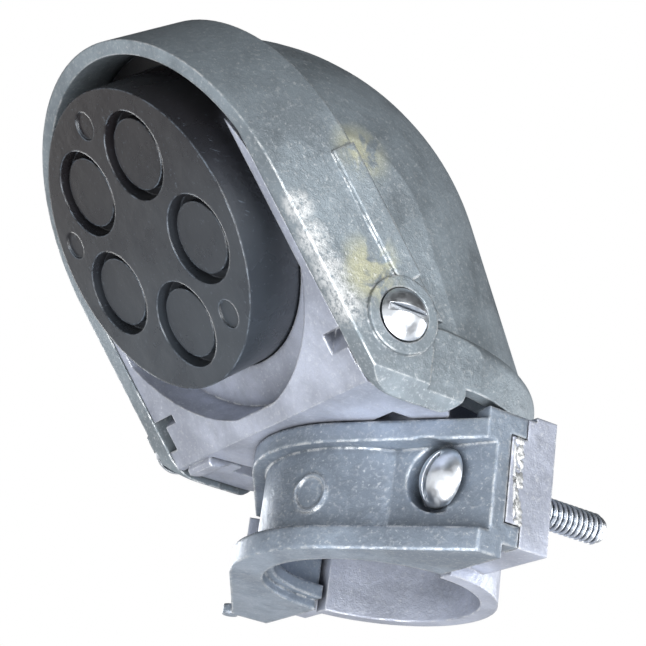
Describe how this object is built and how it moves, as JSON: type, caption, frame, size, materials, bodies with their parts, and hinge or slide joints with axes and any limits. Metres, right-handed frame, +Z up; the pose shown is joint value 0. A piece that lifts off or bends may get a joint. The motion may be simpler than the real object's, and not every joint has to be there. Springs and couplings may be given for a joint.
{
  "type": "service_entrance_weatherhead",
  "caption": "Clamp-on service entrance weatherhead for conduit: cast aluminium hood and body, black knockout insulator, hinged clamp strap with screw",
  "frame": {"origin": "centre of the collar's lower end, on the conduit's axis", "axes": "+Z up the conduit, -Y towards the sloping face, +X to the clamp screw's side"},
  "size_m": [0.0939, 0.1167, 0.1055],
  "materials": {
    "casting": "satin",
    "insulator": "gloss",
    "screws": "satin"
  },
  "bodies": {
    "root": {"body": "casting", "hood": "casting", "insulator": "insulator", "hood_screw_right": "screws", "hood_screw_left": "screws"},
    "strap": {"clamp_strap": "casting"},
    "screw": {"clamp_screw": "screws"}
  },
  "joints": [
    {"name": "strap_swing", "type": "hinge", "parent": "root", "child": "strap", "pos_m": [-0.038, -0.0042, 0.013], "axis": [0, 0, -1], "range_deg": [0, 3.5]},
    {"name": "screw_back_out", "type": "slide", "parent": "root", "child": "screw", "axis": [0, -1, 0], "range_m": [0, 0.0048]}
  ],
  "couplings": [
    {"joint": "screw_back_out", "follows": "strap_swing", "m_per_rad": 0.078}
  ]
}
